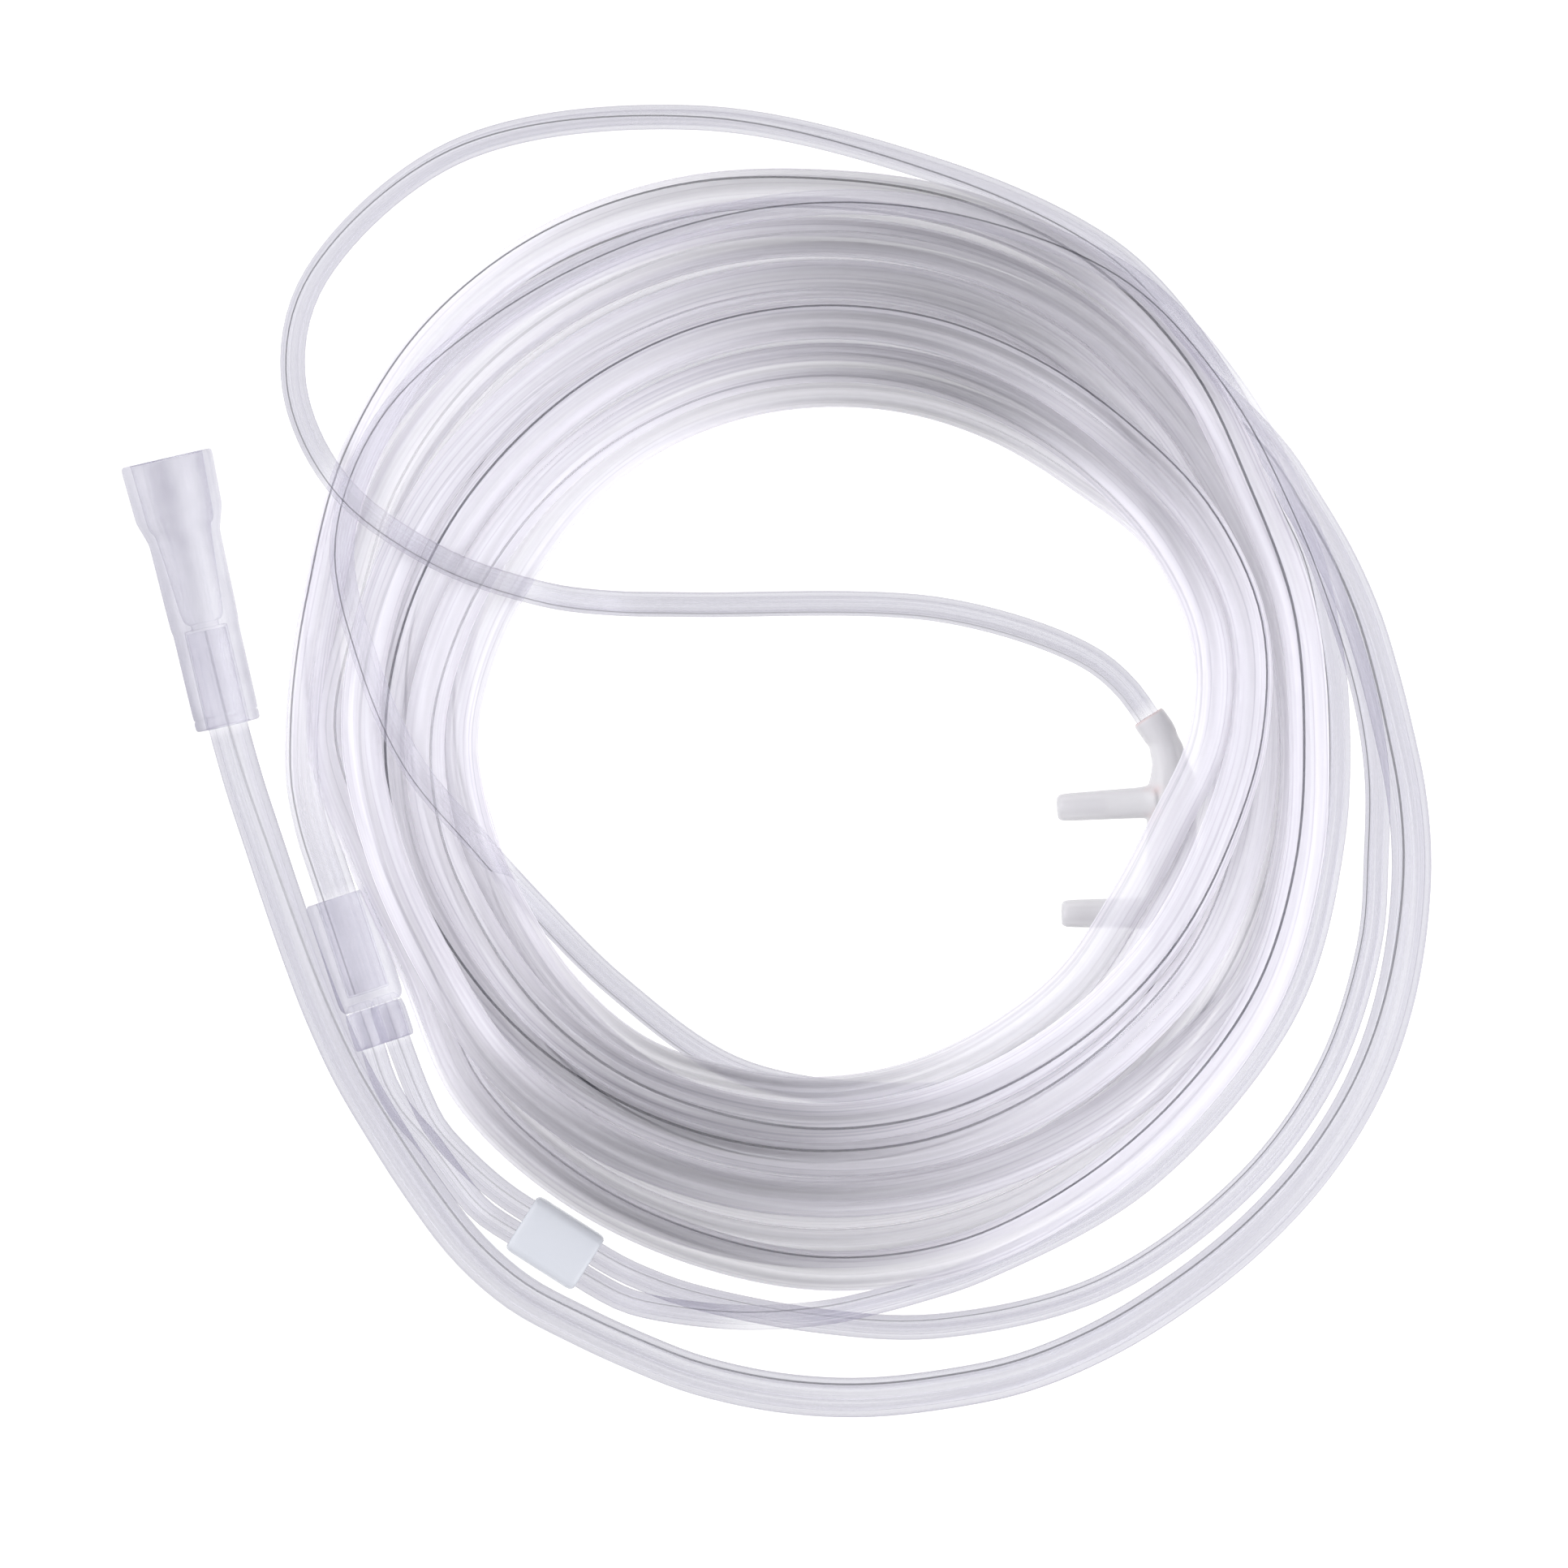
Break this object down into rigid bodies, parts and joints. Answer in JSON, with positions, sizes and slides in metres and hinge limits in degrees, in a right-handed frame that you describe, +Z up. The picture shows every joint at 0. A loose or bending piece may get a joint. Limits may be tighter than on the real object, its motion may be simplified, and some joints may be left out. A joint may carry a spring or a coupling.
{
  "type": "nasal oxygen cannula",
  "caption": "Coiled clear tube set that carries oxygen from a supply connector through a Y-connector and two ear tubes with a slide to a two-prong nasal piece.",
  "frame": {"origin": "Centre of the box round the four moulded fittings (supply connector, Y-connector, slide and nasal piece), on the level surface that the set lies on", "axes": "+Z up from the surface; +X from the supply connector's side to the nasal piece's side; +Y from the slide's side to the supply connector's mouth"},
  "size_m": [0.1853, 0.186, 0.0196],
  "materials": {
    "clear_tube": "clear soft PVC tubing with a smooth glossy skin",
    "clear_moulding": "clear moulded soft PVC, faint violet tint",
    "milky_sleeve": "milky translucent extruded sleeve, satin",
    "frosted_soft": "frosted dipped soft PVC, satin"
  },
  "bodies": {
    "tubing": {"supply_connector": "clear_moulding", "supply_tube_run": "clear_tube", "supply_tube_coil": "clear_tube", "supply_tube_tail": "clear_tube", "y_connector": "clear_moulding", "ear_tube_upper": "clear_tube", "ear_tube_lower": "clear_tube", "nasal_piece": "frosted_soft"},
    "slide": {"slide": "milky_sleeve"}
  },
  "joints": [
    {"name": "slide_along_ear_tubes", "type": "slide", "parent": "tubing", "child": "slide", "axis": [0.843, -0.538, 0], "range_m": [-0.003, 0.003]}
  ]
}
